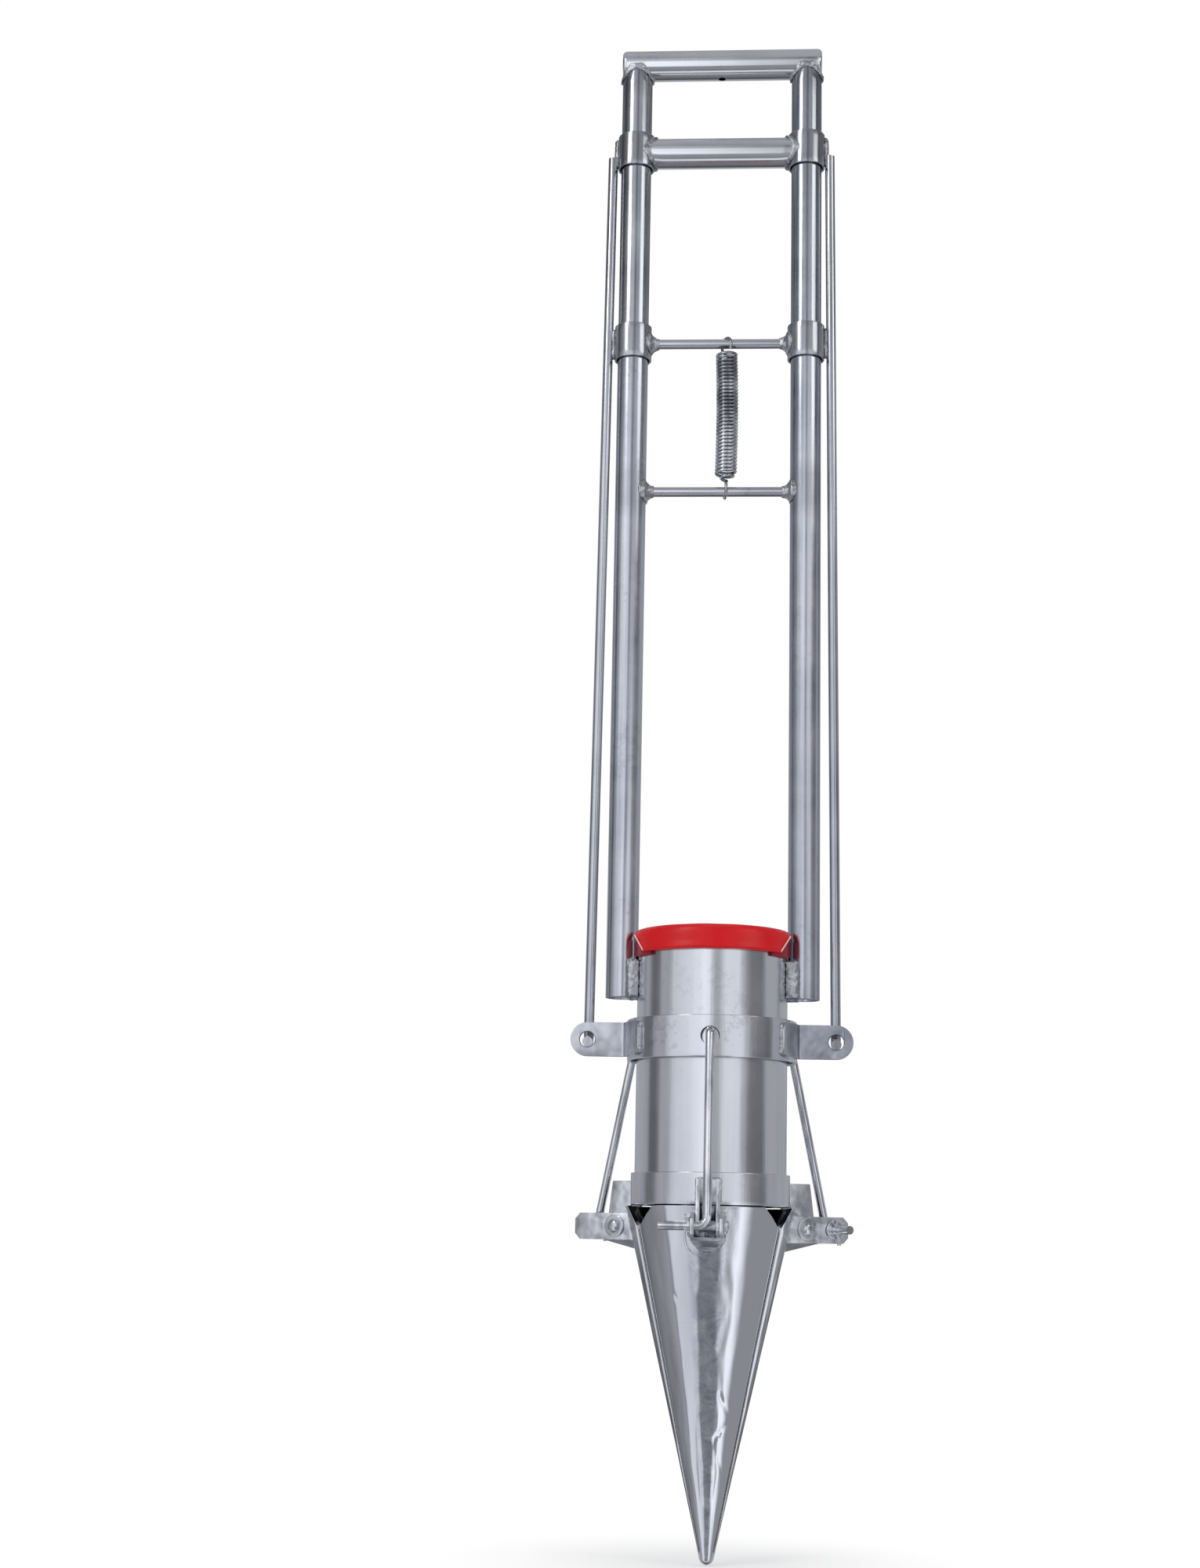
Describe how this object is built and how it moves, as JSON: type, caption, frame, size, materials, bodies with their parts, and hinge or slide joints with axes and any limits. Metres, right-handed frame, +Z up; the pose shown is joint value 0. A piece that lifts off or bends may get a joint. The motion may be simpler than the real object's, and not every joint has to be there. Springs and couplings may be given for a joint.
{
  "type": "bulb planter",
  "caption": "Long-handled steel bulb planter: a squeeze bar lifts rods, a ring and links that swing open pointed jaws under an open barrel.",
  "frame": {"origin": "tip of the closed jaws, on the barrel's axis", "axes": "+Z up along the barrel's axis to the handle bar, +X along the handle bar, -Y to the front, where the red edging and the front jaw's hinge are"},
  "size_m": [0.1671, 0.1531, 0.9299],
  "materials": {
    "polished_steel": "polished",
    "brushed_sheet": "satin",
    "round_rod": "drawn",
    "plated_hardware": "plated",
    "spring_steel": "bright",
    "weld_metal": "rough",
    "red_edging": "matt"
  },
  "bodies": {
    "frame": {"top_handle_bar": "polished_steel", "handle_end_caps": "polished_steel", "upright_left": "polished_steel", "upright_right": "polished_steel", "barrel": "brushed_sheet", "lower_collar": "brushed_sheet", "rim_trim": "red_edging", "frame_weld_beads": "weld_metal", "spring_anchor_rod": "round_rod", "return_spring": "spring_steel", "hinge_bracket_front": "brushed_sheet", "hinge_bracket_left": "brushed_sheet", "hinge_bracket_right": "brushed_sheet", "hinge_pin_front": "plated_hardware", "hinge_pin_left": "plated_hardware", "hinge_pin_right": "plated_hardware", "hinge_washers": "plated_hardware"},
    "slide": {"squeeze_bar": "polished_steel", "upper_sleeve_left": "brushed_sheet", "upper_sleeve_right": "brushed_sheet", "lower_sleeve_left": "brushed_sheet", "lower_sleeve_right": "brushed_sheet", "spring_pull_rod": "round_rod", "pull_rod_left": "round_rod", "pull_rod_right": "round_rod", "lift_ring": "brushed_sheet", "ring_ear_left": "brushed_sheet", "ring_ear_right": "brushed_sheet", "slide_weld_beads": "weld_metal"},
    "front_jaw": {"jaw_front": "brushed_sheet", "jaw_lever_front": "brushed_sheet"},
    "left_jaw": {"jaw_left": "brushed_sheet", "jaw_lever_left": "brushed_sheet"},
    "right_jaw": {"jaw_right": "brushed_sheet", "jaw_lever_right": "brushed_sheet"},
    "front_link": {"link_front": "round_rod", "link_washer_front": "plated_hardware", "split_pin_front": "plated_hardware"},
    "left_link": {"link_left": "round_rod", "link_washer_left": "plated_hardware", "split_pin_left": "plated_hardware"},
    "right_link": {"link_right": "round_rod", "link_washer_right": "plated_hardware", "split_pin_right": "plated_hardware"}
  },
  "joints": [
    {"name": "squeeze_slide", "type": "slide", "parent": "frame", "child": "slide", "axis": [0, 0, 1], "range_m": [0, 0.01], "stiffness_N_per_m": 700, "springref_m": -0.015, "deforming": ["return_spring"]},
    {"name": "front_jaw_hinge", "type": "hinge", "parent": "frame", "child": "front_jaw", "pos_m": [0, -0.0605, 0.1885], "axis": [-1, 0, 0], "range_deg": [0, 30.2]},
    {"name": "left_jaw_hinge", "type": "hinge", "parent": "frame", "child": "left_jaw", "pos_m": [-0.05239, 0.03025, 0.1885], "axis": [0.5, 0.866, 0], "range_deg": [0, 30.2]},
    {"name": "right_jaw_hinge", "type": "hinge", "parent": "frame", "child": "right_jaw", "pos_m": [0.05239, 0.03025, 0.1885], "axis": [0.5, -0.866, 0], "range_deg": [0, 30.2]},
    {"name": "front_link_swing", "type": "hinge", "parent": "front_jaw", "child": "front_link", "pos_m": [0, -0.079, 0.1885], "axis": [-1, 0, 0], "range_deg": [-31.26, 0]},
    {"name": "left_link_swing", "type": "hinge", "parent": "left_jaw", "child": "left_link", "pos_m": [-0.06842, 0.0395, 0.1885], "axis": [0.5, 0.866, 0], "range_deg": [-31.26, 0]},
    {"name": "right_link_swing", "type": "hinge", "parent": "right_jaw", "child": "right_link", "pos_m": [0.06842, 0.0395, 0.1885], "axis": [0.5, -0.866, 0], "range_deg": [-31.26, 0]}
  ],
  "couplings": [
    {"joint": "front_jaw_hinge", "follows": "squeeze_slide", "rad_per_m": 52.65},
    {"joint": "left_jaw_hinge", "follows": "squeeze_slide", "rad_per_m": 52.65},
    {"joint": "right_jaw_hinge", "follows": "squeeze_slide", "rad_per_m": 52.65},
    {"joint": "front_link_swing", "follows": "squeeze_slide", "rad_per_m": -54.55},
    {"joint": "left_link_swing", "follows": "squeeze_slide", "rad_per_m": -54.55},
    {"joint": "right_link_swing", "follows": "squeeze_slide", "rad_per_m": -54.55}
  ]
}
